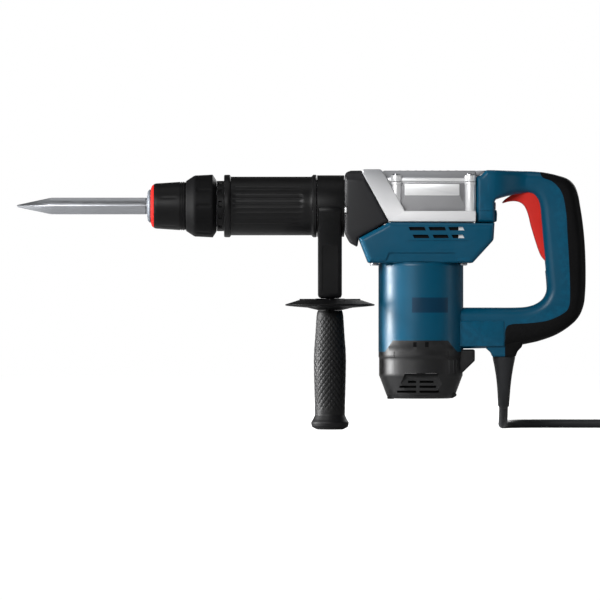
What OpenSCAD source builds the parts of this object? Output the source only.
/* [Chisel] */
// Distance across the flats of the chisel bar
chisel_af = 18; // [16:0.5:19]
// Length of the chisel in front of the nose
chisel_reach = 145; // [110:5:400]
// Length of the point
point_len = 38; // [25:1:45]

/* [Nose] */
// Largest radius of the locking sleeve
sleeve_r = 27.2; // [26.9:0.1:27.2]
// Radius of the chisel-angle ring
ring_r = 35; // [34:0.2:38]
// Radius of the nose cap
cap_r = 18.5; // [17:0.5:19]

/* [Barrel] */
// Radius of the ribbed barrel sleeve
barrel_r = 32.7; // [32:0.1:34]
// Radius of the barrel flanges and the side handle's band
flange_r = 34.9; // [34.6:0.1:36]

/* [Gearbox] */
// Half the width of the gear housing
gear_w = 38; // [37:0.5:42]
// Half the width of the lower casing
casing_w = 44; // [42:0.5:46]

/* [Motor] */
// Radius of the motor housing
motor_r = 47.3; // [46.5:0.1:49]
// Radius of the armature's iron core
core_r = 23; // [20:0.5:23]

/* [Handles] */
// Half the thickness of the rear handle
handle_w = 18; // [17.5:0.5:22]
// Radius of the side grip at its thickest
grip_r = 18; // [17:0.5:20]
// Radius of the hand guard
guard_r = 50; // [44:1:54]
// Lowest point of the side grip below the hammer axis
grip_bottom = 249.2; // [240:0.1:255]

/* [Cord] */
// Diameter of the mains cord
cord_d = 10; // [9:0.5:10]

/* [Hidden] */

gap = 0.3;
run_fit = 0.05;
wall = 3;

shank_r = 9;
chisel_corner = chisel_af / 2 / cos(30);
tip_r = 1;
point_slope = (chisel_corner - tip_r) / point_len;
shank_end = 80;
ball_r = 3.5;
ball_x = 36;
ball_y = 9.4;
ball_cone = 0.4;
holder_r = 13;
journal_r = 18;
bearing_r = 23;
beat_r = 14.2;
stem_r = 11;
tube_r = 17;
tube_outer_r = 20;
barrel_core_r = 29.5;

crank_x = 333.4;
crank_throw = 12;
rod_len = 95;
wrist_x = crank_x + crank_throw - rod_len;
motor_x = 305.4;
gear_module = 0.8;
gear_teeth = 60;
pinion_teeth = 10;
addendum = 0.48;
gear_top = -28;
gear_thick = 10;
shaft_r = 5;

side_x = 204;
floor_z = -grip_bottom;

pivot_x = 449;
pivot_z = -63;
plunger_z = -10;

boot_x = 398;
boot_top = -159.5;
boot_bend = 60;
boot_angle = 40;
coil_x = 600;
coil_y = 42;
coil_mid_r = 59;
coil_ring_r = 16;

screw_r = 2;
screw_head_r = 3.5;
screw_seat = handle_w - 3.5;
// Screws that go in from the far side and hold the handle halves together.
HANDLE_SCREWS = [[398, 25], [362, -136], [438, -121]];

// Outline of the rear handle from its front top corner around the grip to the
// motor, then back along the hand opening.
HANDLE = [
  [387, 5.8], [387, 39.4], [438.7, 37.9], [455, 35], [470, 30.3], [479.8, 17], [482.8, 2],
  [486, -20], [488.8, -52], [489, -77], [488.4, -93], [487, -111], [481, -124.5], [471.6, -134],
  [456, -144.5], [438.5, -150.5], [418.6, -156.7], [412, -167.5], [386, -167.5], [381, -159.5],
  [345, -159.5], [345, -113], [417, -113], [433, -110], [441.5, -104], [446.5, -97],
  [444.5, -75.8], [443, -60], [437.6, -2.2], [434, 8], [427, 14.5], [412.5, 13.2], [399, 10.6]];
// Region covered by the rubber layer.
RUBBER = [
  [438, 60], [439, 31], [451, 27], [459.4, 19], [463.8, 9.6], [467, -9.6], [468.3, -32],
  [470, -60], [471.2, -94], [470, -113], [463.4, -119], [446.4, -127.6], [427, -130.5],
  [406.5, -131.8], [401.6, -134], [401.4, -190], [520, -190], [520, 60]];
// Lower casing of the gearbox, seen from the side.
CASING = [
  [269.4, -18.1], [236, -36.2], [245.3, -62], [247, -63.6], [362.4, -63.6], [385.8, -37.9],
  [386.9, -19.3], [365.7, -19.3], [365.7, -18.1]];
// Front cover of the gearbox.
FRONT = [
  [220.3, -32], [221, 36], [226.3, 39], [238, 39], [239.7, 36], [269.1, -17.7], [236, -35.9],
  [234.5, -45.5], [227, -42], [221.5, -36]];
// Trigger, with the lug that its pin goes through.
TRIGGER = [
  [396.8, 3], [408, 5.4], [417.4, 3.3], [423.3, -4.5], [428.2, -22.3], [433.7, -40.6],
  [439.3, -57], [445, -67], [453, -67], [453, -59], [447.5, -50], [446.6, -10], [444, 4],
  [436, 14], [427, 17], [410, 15]];
// Pocket that lets the trigger swing into the handle.
TRIGGER_POCKET = [
  [390, 4], [400, 16], [407, 22], [430, 25.5], [444, 20], [452, 8], [456, -20], [457, -72],
  [440, -72], [430, -30], [420, 0]];

// A shape turned about the hammer axis from [x, radius] points.
module lathe_x(points, sides = 96) {
  rotate([0, 90, 0]) rotate_extrude($fn = sides) polygon([for (p = points) [p[1], p[0]]]);
}
module tube_x(x0, x1, r_out, r_in) {
  lathe_x([[x0, r_in], [x0, r_out], [x1, r_out], [x1, r_in]]);
}
module rod_x(x0, x1, r, sides = 64) {
  translate([x0, 0, 0]) rotate([0, 90, 0]) cylinder(h = x1 - x0, r = r, $fn = sides);
}
module rod_z(z0, z1, r, sides = 64) {
  translate([0, 0, z0]) cylinder(h = z1 - z0, r = r, $fn = sides);
}
module rod_y(y0, y1, r, sides = 48) {
  translate([0, y1, 0]) rotate([90, 0, 0]) cylinder(h = y1 - y0, r = r, $fn = sides);
}
// A side outline in X and Z, extruded across the hammer.
module plate_y(y0, y1) {
  translate([0, y1, 0]) rotate([90, 0, 0]) linear_extrude(y1 - y0) children();
}
module box(low, high) {
  translate(low) cube(high - low);
}
// A tunnel along the hammer with chamfered top edges, to trim side plates.
module tunnel(w, top, chamfer) {
  translate([200, 0, 0]) rotate([90, 0, 90]) linear_extrude(200)
    polygon([[-w, -80], [w, -80], [w, top - chamfer], [w - chamfer, top],
      [chamfer - w, top], [-w, top - chamfer]]);
}
module tube_z(z0, z1, r_out, r_in) {
  rotate_extrude($fn = 96) polygon([[r_in, z0], [r_out, z0], [r_out, z1], [r_in, z1]]);
}
// A socket screw standing on its head along +Z, with the head's top at 0.
module screw(len, head_r = 3.6, head_h = 3.4, r = 2, sides = 32) {
  difference() {
    union() {
      rod_z(-head_h, 0, head_r, sides);
      rod_z(-len, -head_h, r, sides);
    }
    rod_z(-head_h * 0.6, 1, head_r * 0.5, 6);
  }
}
// Teeth with straight flanks round a wheel.
module gear_outline(teeth, root_r, tip_r, root_frac, tip_frac) {
  pitch = 360 / teeth;
  polygon([for (t = [0 : teeth - 1]) each [
    for (c = [[-root_frac, root_r], [-tip_frac, tip_r], [tip_frac, tip_r], [root_frac, root_r]])
      c[1] * [cos((t + c[0]) * pitch), sin((t + c[0]) * pitch)]]]);
}

// ---- Chisel and tool holder ----

module chisel() {
  color("silver") difference() {
    union() {
      intersection() {
        translate([-chisel_reach, 0, 0]) rotate([0, 90, 0]) rotate([0, 0, 30])
          cylinder(h = chisel_reach - 1, r = chisel_corner, $fn = 6);
        translate([-chisel_reach, 0, 0]) rotate([0, 90, 0]) rotate([0, 0, 30])
          cylinder(h = chisel_reach, r1 = tip_r, r2 = tip_r + chisel_reach * point_slope, $fn = 6);
      }
      rod_x(-1, shank_end, shank_r);
      rod_x(-8, 6, shank_r - 1.5);
    }
    for (side = [-1, 1])
      translate([0, side * ball_y, 0]) rod_x(ball_x - 4, ball_x + 16, ball_r + 0.2, 32);
    for (a = [50, 130, 270])
      rotate([a - 90, 0, 0]) box([12, -2.7, 6.4], [shank_end + 1, 2.7, 12]);
  }
}

module tool_holder() {
  color("gray") difference() {
    union() {
      lathe_x([[2.4, shank_r + run_fit], [2.4, holder_r], [70, holder_r], [70, 20.5], [84, 20.5],
        [84, journal_r], [110, journal_r], [110, beat_r + run_fit], [85.5, beat_r + run_fit],
        [85.5, shank_r + run_fit]]);
      for (a = [50, 130, 270])
        rotate([a - 90, 0, 0]) box([16, -2.3, 6.9], [60, 2.3, 10]);
    }
    for (side = [-1, 1])
      translate([ball_x, 0, 0]) rod_y(min(side * 20, 0), max(side * 20, 0), ball_r + 0.15);
  }
}

module nose_cap() {
  color("lightsteelblue") lathe_x([[0.6, shank_r + 0.3], [0, 12], [0.5, 15.5], [1.6, 17.6],
    [3, cap_r], [4.2, cap_r], [4.2, 14.3], [10, 14.3], [10, holder_r], [2.4, holder_r],
    [2.4, shank_r + 0.3]]);
}

module red_ring() {
  color("red") lathe_x([[4.6, 18], [4.6, 19], [8, 22.6], [8, 18]]);
}

module locking_sleeve() {
  color("black") difference() {
    lathe_x([[5, 15], [5, 18], [8, 18], [8, 22.6], [11, 25.1], [40, sleeve_r - 0.1], [42, sleeve_r],
      [43, 26.4], [50, 26], [50, 23], [48, 22], [25, 22], [25, 15]]);
    for (a = [0 : 12 : 348])
      rotate([a, 0, 0]) translate([0, 0, 27.6]) rod_x(37, 42.5, 1, 12);
  }
}

module retaining_ring() {
  color("silver") lathe_x([[27, 22], [27, ball_y + ball_r + gap + 9 * ball_cone],
    [ball_x, ball_y + ball_r + gap], [46, ball_y + ball_r + gap], [46, 22]]);
}

module locking_ball(side) {
  color("silver") translate([ball_x, side * ball_y, 0]) sphere(r = ball_r, $fn = 40);
}
module locking_ball_near() { locking_ball(-1); }
module locking_ball_far() { locking_ball(1); }

// Drawn at its length with the sleeve pulled back, as flat coils on the holder.
module sleeve_spring() {
  color("gray") {
    for (turn = [0 : 3])
      translate([56 + turn * 3.8, 0, 0]) rotate([0, 90, 0])
        rotate_extrude($fn = 64) translate([17, 0]) circle(r = 1.1, $fn = 20);
    for (turn = [0 : 2])
      rotate([turn * 180, 0, 0]) translate([0, 0, 17]) rod_x(56.8 + turn * 3.8, 59 + turn * 3.8, 1, 20);
    translate([0, 0, -17]) rod_x(67.4 + 0.8, 70, 1, 20);
  }
}

module angle_ring() {
  color("black") difference() {
    lathe_x([[44, 27.7], [44, 28.2], [48, 31.8], [53, 33.8], [56, ring_r], [71, ring_r],
      [73.6, 33.6], [77.6, 28.1], [77.6, 20.5], [70.4, 20.5], [70.4, 24], [60, 24], [60, 27.7]]);
    for (a = [0 : 20 : 340])
      rotate([a, 0, 0]) translate([0, 0, ring_r + 4.4]) rod_x(55, 75, 5, 32);
  }
}

module neck_ring() {
  color("dimgray") difference() {
    tube_x(78, 86, 28.1, 21);
    for (a = [0 : 30 : 330])
      rotate([a + 8, 0, 0]) box([79.8, -4, 25], [83.6, 4, 30]);
  }
}

module holder_bearing() {
  color("goldenrod") tube_x(86, 104, bearing_r, journal_r + run_fit);
}

// ---- Barrel and hammer mechanism ----

module beat_piece() {
  color("silver") lathe_x([[80.2, 0], [80.2, 7.5], [81.5, 8.9], [98, 8.9], [100, beat_r],
    [107, beat_r], [107, stem_r], [124, stem_r], [125, 10], [125, 0]]);
}

module damper_ring() {
  color("darkslategray") tube_x(107.4, 110.4, beat_r - gap, stem_r + 0.4);
}

module guide_bush() {
  color("goldenrod") lathe_x([[110.4, stem_r + run_fit], [110.4, tube_outer_r],
    [112, tube_outer_r], [112, tube_r], [124, tube_r], [124, stem_r + run_fit]]);
}

module hammer_tube() {
  color("lightgray") difference() {
    tube_x(112, 270, tube_outer_r, tube_r);
    for (a = [0 : 60 : 300])
      rotate([a, 0, 0]) translate([182, 0, 15]) rod_z(0, 8, 2, 24);
  }
}

module striker() {
  color("silver") lathe_x([[126, 0], [126, 10.5], [127, 11.5], [136, 11.5], [140, tube_r - run_fit],
    [156, tube_r - run_fit], [156, 15], [159, 15], [159, tube_r - run_fit],
    [172, tube_r - run_fit], [174, 15], [174, 0]]);
}

module striker_ring() {
  color("black") tube_x(156.2, 158.8, tube_r - 0.1, 15);
}

module piston() {
  color("lightgray") difference() {
    lathe_x([[228.4, 0], [228.4, tube_r - run_fit], [234, tube_r - run_fit], [234, 15], [237, 15],
      [237, tube_r - run_fit], [262.4, tube_r - run_fit], [262.4, 13], [241, 13], [241, 0]]);
    translate([wrist_x, 0, 0]) rod_z(-20, 20, 4.5);
    box([242, -15, -7], [263, 15, 7]);
  }
}

module piston_ring() {
  color("black") tube_x(234.2, 236.8, tube_r - 0.1, 15);
}

module wrist_pin() {
  color("silver") translate([wrist_x, 0, 0]) rod_z(-15.5, 15.5, 4.5);
}

module connecting_rod() {
  color("slategray") difference() {
    union() {
      translate([wrist_x, 0, 0]) rod_z(-6, 6, 8);
      translate([wrist_x + rod_len, 0, 0]) rod_z(-6, 6, 11.5);
      box([wrist_x + 6, -4.5, -4.5], [wrist_x + rod_len - 9, 4.5, 4.5]);
    }
    translate([wrist_x, 0, 0]) rod_z(-7, 7, 4.5 + run_fit);
    translate([wrist_x + rod_len, 0, 0]) rod_z(-7, 7, 6);
  }
}

module crank_pin() {
  color("silver") translate([wrist_x + rod_len, 0, 0]) {
    rod_z(-8, 8, 6);
    rod_z(8, 9.5, 8);
  }
}

module crank_gear() {
  color("gray") translate([crank_x, 0, 0]) difference() {
    union() {
      rod_z(-20, -8.3, 20);
      rod_z(gear_top, -20, 7);
      rod_z(-60, gear_top - gear_thick, 6);
      translate([0, 0, gear_top - gear_thick]) rotate([0, 0, 180]) linear_extrude(gear_thick)
        gear_outline(gear_teeth, 23.3, 24 + addendum, 0.3, 0.14);
    }
    for (a = [0 : 60 : 300])
      rotate([0, 0, a]) translate([15, 0, 0]) rod_z(-40, -27, 3.2, 32);
  }
}

module ball_bearings() {
  color("silver") {
    translate([crank_x, 0, 0]) {
      tube_z(-27.5, -20.6, 13, 7 + run_fit);
      tube_z(-56, -46, 11, 6 + run_fit);
    }
    translate([motor_x, 0, 0]) {
      tube_z(-60, -50, 11, shaft_r + run_fit);
      tube_z(-196, -187, 11, shaft_r + run_fit);
    }
  }
}

module barrel_housing() {
  color("darkgray") difference() {
    tube_x(86, 264, barrel_core_r, tube_outer_r);
    rod_x(85, 106, bearing_r, 96);
    rod_x(105, 110.2, tube_outer_r + 0.5, 96);
  }
}

module barrel_sleeve() {
  color("black") difference() {
    lathe_x([[86, barrel_core_r + 0.05], [86, flange_r - 0.6], [87, flange_r], [92, flange_r],
      [93.4, barrel_r], [184, barrel_r], [185.4, flange_r], [188.6, flange_r],
      [189.4, flange_r - 0.6], [189.4, barrel_core_r + 0.05]]);
    for (side = [-1, 1], z = [-18 : 6 : 18])
      box([97, min(side * 50, side * sqrt(barrel_r * barrel_r - z * z) - side * 0.9), z - 1],
        [172, max(side * 50, side * sqrt(barrel_r * barrel_r - z * z) - side * 0.9), z + 1]);
  }
}

// ---- Gearbox ----

module front_cover() {
  color("dimgray") difference() {
    intersection() {
      plate_y(-gear_w, gear_w) polygon(FRONT);
      tunnel(gear_w, 39, 9);
    }
    rod_x(215, 264.1, barrel_core_r + 0.05, 96);
    rod_x(260, 272, tube_outer_r + 0.1, 96);
  }
}

module gear_housing() {
  color("silver") difference() {
    union() {
      plate_y(-gear_w, gear_w)
        polygon([[245.5, 26], [366, 26], [366, -17.8], [269.5, -17.8]]);
      plate_y(-33, 33) polygon([[269.5, -42], [269.5, -17.8], [364, -17.8], [364, -42]]);
      plate_y(-gear_w - 2, gear_w + 2) polygon([[286, 10.7], [286, 24.6], [350, 24.6], [350, 10.7]]);
    }
    box([272, -31, -20.4], [362, 31, 27]);
    box([272, -29, -43], [362, 29, -27.6]);
    translate([crank_x, 0, 0]) rod_z(-30, -10, 13);
    rod_x(240, 264, barrel_core_r + 0.05, 96);
    rod_x(260, 273, tube_outer_r, 96);
  }
}

module gearbox_base() {
  color("darkgray") difference() {
    box([268, -33, -62], [364, 33, -42]);
    translate([crank_x, 0, 0]) {
      rod_z(-56, -40, 11);
      rod_z(-60.5, -50, 7);
    }
    translate([motor_x, 0, 0]) {
      rod_z(-60, -50, 11);
      rod_z(-63, -60, 11);
      rod_z(-55, -40, 7);
    }
  }
}

module gearbox_cover() {
  color("silver") difference() {
    intersection() {
      plate_y(-gear_w, gear_w)
        polygon([[245.3, 26.3], [240, 36], [240, 40.4], [261, 40.4], [263.5, 39], [366, 39],
          [366, 26.3]]);
      tunnel(gear_w, 40.4, 6);
    }
    box([272, -31, 26], [354, 31, 34]);
    rod_x(240, 264, barrel_core_r + 0.05, 96);
    for (x = [277, 359.8], side = [-1, 1]) translate([x, side * 31, 0]) {
      rod_z(26, 31, 2, 24);
      rod_z(30.6, 50, 4, 32);
    }
  }
}

module cover_screws() {
  color("gray") for (x = [277, 359.8], side = [-1, 1])
    translate([x, side * 31, 34]) screw(7.7, 3.6, 3.4);
}

module lower_casing() {
  color("steelblue") difference() {
    plate_y(-casing_w, casing_w) polygon(CASING);
    difference() {
      plate_y(-casing_w + wall, casing_w - wall) offset(delta = -wall) polygon(CASING);
      box([230, -50, -70], [264, 50, -17]);
    }
    box([267.6, -gear_w + 4.8, -62.2], [364.4, gear_w - 4.8, -17]);
    translate([motor_x, 0, 0]) rod_z(-65, -60, motor_r - 4, 96);
    for (side = [-1, 1], row = [0, 1], slot = [0 : 2])
      translate([0, side * casing_w, 0]) plate_y(-wall - 1, wall + 1)
        translate([291 + row * 4.5 + slot * 22, -26.8 - row * 8.5])
          polygon([[1.5, 0], [0, 3], [18.5, 3], [20, 0]]);
    for (side = [-1, 1])
      box([264, side * casing_w - 0.8, -52.6], [347, side * casing_w + 0.8, -51.4]);
    rod_x(215, 264, barrel_core_r + 6, 96);
  }
}

module casing_screws() {
  color("silver") {
    for (x = [253, 352], side = [-1, 1])
      translate([x, side * 30, -63.7]) rotate([180, 0, 0]) rod_z(0, 2.6, 4, 32);
    for (side = [-1, 1])
      translate([motor_x, side * 34, -183.5]) screw(9, 3.6, 3.4, 2);
  }
}

// ---- Motor ----

module motor_housing() {
  color("steelblue") translate([motor_x, 0, 0]) difference() {
    rod_z(-158, -63.9, motor_r, 128);
    rod_z(-159, -63, motor_r - 3.8, 128);
    for (a = [-28 : 8 : 28], row = [0 : 1])
      rotate([0, 0, a]) box([motor_r - 6, -1.3, -84 - row * 22], [motor_r + 4, 1.3, -68 - row * 22]);
  }
}

module stator() {
  color("peru") translate([motor_x, 0, 0]) {
    tube_z(-148, -94, motor_r - 4, core_r + 6);
    for (side = [-1, 1]) intersection() {
      tube_z(-146, -96, core_r + 6, core_r + 0.6);
      box([-30, min(side * 6, side * 40), -150], [30, max(side * 6, side * 40), -90]);
    }
  }
}

module armature() {
  color("silver") translate([motor_x, 0, 0]) difference() {
    union() {
      rod_z(-150, -90, core_r, 96);
      rod_z(-196, -38.4, shaft_r);
      translate([0, 0, gear_top - gear_thick - 0.4]) rotate([0, 0, 18])
        linear_extrude(gear_thick + 0.4)
          gear_outline(pinion_teeth, 3.3, 4 + addendum, 0.27, 0.12);
    }
    for (a = [0 : 30 : 330])
      rotate([0, 0, a]) box([core_r - 3, -1, -151], [core_r + 1, 1, -89]);
  }
}

module commutator() {
  color("orange") translate([motor_x, 0, 0]) difference() {
    tube_z(-176, -158, 14, shaft_r);
    for (a = [0 : 15 : 345])
      rotate([0, 0, a]) box([13, -0.4, -177], [15, 0.4, -157]);
  }
}

module fan() {
  color("black") translate([motor_x, 0, 0]) {
    tube_z(-74, -72, 36, shaft_r);
    tube_z(-84, -74, 9, shaft_r);
    for (a = [0 : 24 : 336])
      rotate([0, 0, a]) box([8.5, -0.9, -84], [35, 0.9, -73.5]);
  }
}

module carbon_brushes() {
  color("darkgoldenrod") for (side = [-1, 1]) translate([motor_x, 0, -167]) difference() {
    box([-5, min(side * 14.4, side * 40), -5], [5, max(side * 14.4, side * 40), 5]);
    box([-3, min(side * 34, side * 41), -3], [3, max(side * 34, side * 41), 3]);
  }
}

module motor_end_cap() {
  color("dimgray") difference() {
    union() {
      translate([motor_x, 0, 0]) rotate_extrude($fn = 128) polygon([[0, -158], [motor_r - 0.3, -158],
        [motor_r - 0.3, -188], [36.5, -213.6], [0, -214.6]]);
      plate_y(-16, 16) polygon([[335, -160], [365.7, -160], [365.7, -172.8], [350, -187], [335, -187]]);
    }
    translate([motor_x, 0, 0]) {
      rod_z(-186.9, -150, motor_r - 3.8, 128);
      rod_z(-196, -180, 11);
      rod_z(-199, -180, 7);
    }
    for (side = [-1, 1]) translate([0, side * motor_r, 0]) {
      plate_y(-11, 11) polygon([[288, -187.6], [322.4, -187.6], [334.4, -211.4], [277, -211.4]]);
      for (row = [0 : 2], x0 = [281, 303.2])
        box([x0, -18, -196.9 - row * 5.5], [x0 + 18.6, 18, -194.4 - row * 5.5]);
    }
    for (side = [-1, 1]) translate([motor_x, side * 34, 0]) rod_z(-200, -150, 2, 24);
  }
}

// ---- Rear handle ----

module rear_bracket() {
  color("steelblue") difference() {
    intersection() {
      plate_y(-gear_w + 1, gear_w - 1)
        polygon([[366.1, -19], [366.1, 32], [378, 39.4], [387, 39.4], [387, -19]]);
      tunnel(gear_w - 1, 39.4, 9);
    }
    plate_y(-gear_w + 5, gear_w - 5)
      polygon([[366, -16], [366, 26], [376, 29], [384, 29], [384, -16]]);
    for (z = [-6, 22]) translate([0, 0, z]) rod_x(380, 390, 2.5, 24);
  }
}

module handle_side() {
  difference() {
    polygon(HANDLE);
    translate([0, -400]) square([motor_x + 41.6, 800]);
  }
}

module handle_half(side) {
  low = min(0, side * handle_w);
  high = max(0, side * handle_w);
  inner = handle_w - 2.5;
  color("steelblue") difference() {
    union() {
      plate_y(low, high) difference() { handle_side(); polygon(RUBBER); }
      plate_y(min(0, side * inner), max(0, side * inner)) intersection() {
        offset(delta = -2.5) handle_side();
        translate([400, -190]) square([100, 250]);
      }
    }
    plate_y(-handle_w + 5.5, handle_w - 5.5) offset(delta = -5.5) handle_side();
    plate_y(-11.6, 11.6) polygon(TRIGGER_POCKET);
    translate([motor_x, 0, 0]) rod_z(-170, -60, motor_r + 0.1, 128);
    translate([pivot_x, 0, pivot_z]) rod_y(-15, 15, 2.5);
    translate([boot_x, 0, 0]) rod_z(-169, -150, 9.1, 48);
    for (p = HANDLE_SCREWS) translate([p[0], 0, p[1]]) {
      rod_y(3 - handle_w, handle_w - 3, screw_r + run_fit, 24);
      rod_y(screw_seat, handle_w + 1, screw_head_r + 0.1, 32);
    }
  }
}
module handle_near() { handle_half(-1); }
module handle_far() { handle_half(1); }

module handle_rubber() {
  color("black") difference() {
    plate_y(-handle_w, handle_w) intersection() { handle_side(); polygon(RUBBER); }
    plate_y(-handle_w + 2.5, handle_w - 2.5) offset(delta = -2.5) handle_side();
    translate([boot_x, 0, 0]) rod_z(-169, -150, 9.1, 48);
  }
}

module handle_screws() {
  color("gray") for (p = HANDLE_SCREWS)
    translate([p[0], screw_seat + 3, p[1]]) rotate([-90, 0, 0])
      screw(screw_seat + 3 + handle_w - 3.2, screw_head_r, 3, screw_r);
}

module trigger() {
  color("red") difference() {
    plate_y(-11, 11) polygon(TRIGGER);
    translate([pivot_x, 0, pivot_z]) rod_y(-12, 12, 2.5 + run_fit);
  }
}

module trigger_pin() {
  color("silver") translate([pivot_x, 0, pivot_z]) rod_y(-15, 15, 2.5);
}

module switch_block() {
  color("black") difference() {
    box([456.5, -12.5, -54], [477, 12.5, 2]);
    translate([0, 0, plunger_z]) rod_x(450, 474, 4 + run_fit);
  }
}

module switch_plunger() {
  color("white") translate([0, 0, plunger_z])
    lathe_x([[447, 0], [447, 2], [448, 3.6], [450, 4], [466, 4], [466, 0]], 48);
}

// ---- Side handle ----

module clamp_band() {
  color("black") difference() {
    union() {
      tube_x(189.7, 219.9, flange_r - 0.3, barrel_core_r + 0.5);
      translate([190.4, 0, 0]) rotate([90, 0, 90]) linear_extrude(27)
        polygon([[-36, 0], [-36, -7], [-27, -26], [-17, -42], [-17, -103],
          [17, -103], [17, -42], [27, -26], [36, -7], [36, 0]]);
    }
    rod_x(180, 230, barrel_core_r + 0.5, 96);
    translate([side_x, 0, 0]) {
      rod_z(-110, -20, 5.2, 32);
      rod_z(-40.1, -20, 9.3, 32);
    }
    for (side = [-1, 1], z = [-90 : 5 : -75])
      box([216.4, -12, z], [219, 12, z + 2.4]);
  }
}

module clamp_bolt() {
  color("silver") translate([side_x, 0, 0]) {
    rod_z(-200, -40, 5, 32);
    rod_z(-40, -33, 9, 6);
  }
}

module hand_guard() {
  color("black") translate([side_x, 0, 0]) rotate_extrude($fn = 96)
    polygon([[5.1, -116], [14, -116], [28, -113], [44, -111.5], [guard_r - 1, -111],
      [guard_r, -109], [guard_r - 1, -107.4], [44, -107.5], [30, -106], [16, -103.3], [5.1, -103.3]]);
}

module side_grip() {
  color("black") translate([side_x, 0, 0]) rotate_extrude($fn = 96)
    polygon([[5.05, -116.3], [13, -116.3], [14.4, -119], [15.1, -124], [16.2, -145],
      [grip_r - 0.4, -160], [grip_r, -172], [grip_r - 0.3, -190], [17, -215], [16.7, -233],
      [18.5, -237], [21, -240], [21.3, -243], [20, -246.4], [15, floor_z], [0, floor_z],
      [0, -200.5], [5.05, -200.5]]);
}

// ---- Cord ----

// Route of the cord from the end of its boot to the floor and on to the coil.
LEAD = [
  [398, 14, -222.6], [398, 20, -229.5], [398, 28, -236], [398, 38, -241], [398, 50, -243.6],
  [398, 62, -244.2], [401, 78, -244.2], [409, 92, -244.2], [421, 102, -244.2],
  [436, 107, -244.2], [452, 107, -244.2], [475, 106, -244.2], [500, 105, -244.2],
  [525, 104, -244.2], [550, 105, -244.2]];

function unit(v) = v / norm(v);
function heading(path, i) = unit(path[min(i + 1, len(path) - 1)] - path[max(i - 1, 0)]);
// One ring of points round the path, square to its heading.
function ring_points(path, i, r, sides) =
  let (t = heading(path, i),
    u = unit(cross(t, abs(t[2]) > 0.9 ? [1, 0, 0] : [0, 0, 1])),
    v = cross(t, u))
  [for (k = [0 : sides - 1]) path[i] + r * (cos(k * 360 / sides) * u + sin(k * 360 / sides) * v)];

module swept(path, r, sides = 12) {
  rings = len(path);
  polyhedron(
    [for (i = [0 : rings - 1]) each ring_points(path, i, r[i], sides)],
    concat(
      [[for (k = [0 : sides - 1]) k]],
      [for (i = [0 : rings - 2], k = [0 : sides - 1])
        [i * sides + k, (i + 1) * sides + k, (i + 1) * sides + (k + 1) % sides,
          i * sides + (k + 1) % sides]],
      [[for (k = [sides - 1 : -1 : 0]) (rings - 1) * sides + k]]));
}

// The boot hangs straight down, then curves away to the far side.
BOOT = concat(
  [[boot_x, 0, boot_top], [boot_x, 0, -167.6], [boot_x, 0, -167.9], [boot_x, 0, -175],
    [boot_x, 0, -184]],
  [for (a = [5 : 5 : boot_angle])
    [boot_x, boot_bend * (1 - cos(a)), -184 - boot_bend * sin(a)]]);
BOOT_R = [9, 9, 12.6, 11.4, 9.8, 9.1, 8.5, 7.9, 7.4, 7, 6.7, 6.5, 6.3];
TAIL = [
  [672, 46, -221], [677, 30, -226], [679.5, 16, -231], [680, 2, -235], [680, -14, -236.2]];
plug_x = 680;
plug_z = -236.2;

module cord_boot() {
  color("black") swept(BOOT, BOOT_R, 24);
}
module cord_lead() {
  color("black") swept(LEAD, [for (p = LEAD) cord_d / 2]);
}
module cord_tail() {
  color("black") swept(TAIL, [for (p = TAIL) cord_d / 2]);
}
module cord_coil() {
  color("black") translate([coil_x, coil_y, 0]) rotate_extrude($fn = 96)
    translate([coil_mid_r - coil_ring_r, floor_z + 0.8])
      polygon([[4, 0], [28, 0], [32, 4], [32, 30], [25, 37], [7, 37], [0, 30], [0, 4]]);
}
module cord_tie() {
  color("dimgray") difference() {
    box([coil_x - 5, coil_y - coil_mid_r - coil_ring_r - 1.5, floor_z],
      [coil_x + 5, coil_y - coil_mid_r + coil_ring_r + 1.5, floor_z + 39]);
    box([coil_x - 6, coil_y - coil_mid_r - coil_ring_r - 0.1, floor_z + 0.7],
      [coil_x + 6, coil_y - coil_mid_r + coil_ring_r + 0.3, floor_z + 38.2]);
  }
}
module mains_plug() {
  color("black") translate([plug_x, 0, plug_z]) {
    translate([0, -14, 0]) rotate([90, 0, 0])
      rotate_extrude($fn = 48) polygon([[0, 0], [6, 0], [8, 22], [0, 22]]);
    intersection() {
      box([-18, -76, -13], [18, -36, 13]);
      rod_y(-76, -36, 18.5, 96);
    }
  }
  color("silver") for (side = [-1, 1])
    translate([plug_x + side * 9.5, 0, plug_z]) rod_y(-95, -76, 2.4, 48);
}

chisel();
nose_cap();
red_ring();
locking_sleeve();
retaining_ring();
locking_ball_near();
locking_ball_far();
sleeve_spring();
angle_ring();
tool_holder();
neck_ring();
holder_bearing();
guide_bush();
damper_ring();
beat_piece();
striker();
striker_ring();
hammer_tube();
barrel_housing();
barrel_sleeve();
front_cover();
piston();
piston_ring();
wrist_pin();
connecting_rod();
crank_pin();
crank_gear();
ball_bearings();
gear_housing();
gearbox_base();
gearbox_cover();
cover_screws();
lower_casing();
casing_screws();
motor_housing();
stator();
armature();
commutator();
fan();
carbon_brushes();
motor_end_cap();
rear_bracket();
handle_near();
handle_far();
handle_rubber();
handle_screws();
trigger();
trigger_pin();
switch_block();
switch_plunger();
clamp_band();
clamp_bolt();
hand_guard();
side_grip();
cord_boot();
cord_lead();
cord_coil();
cord_tie();
cord_tail();
mains_plug();
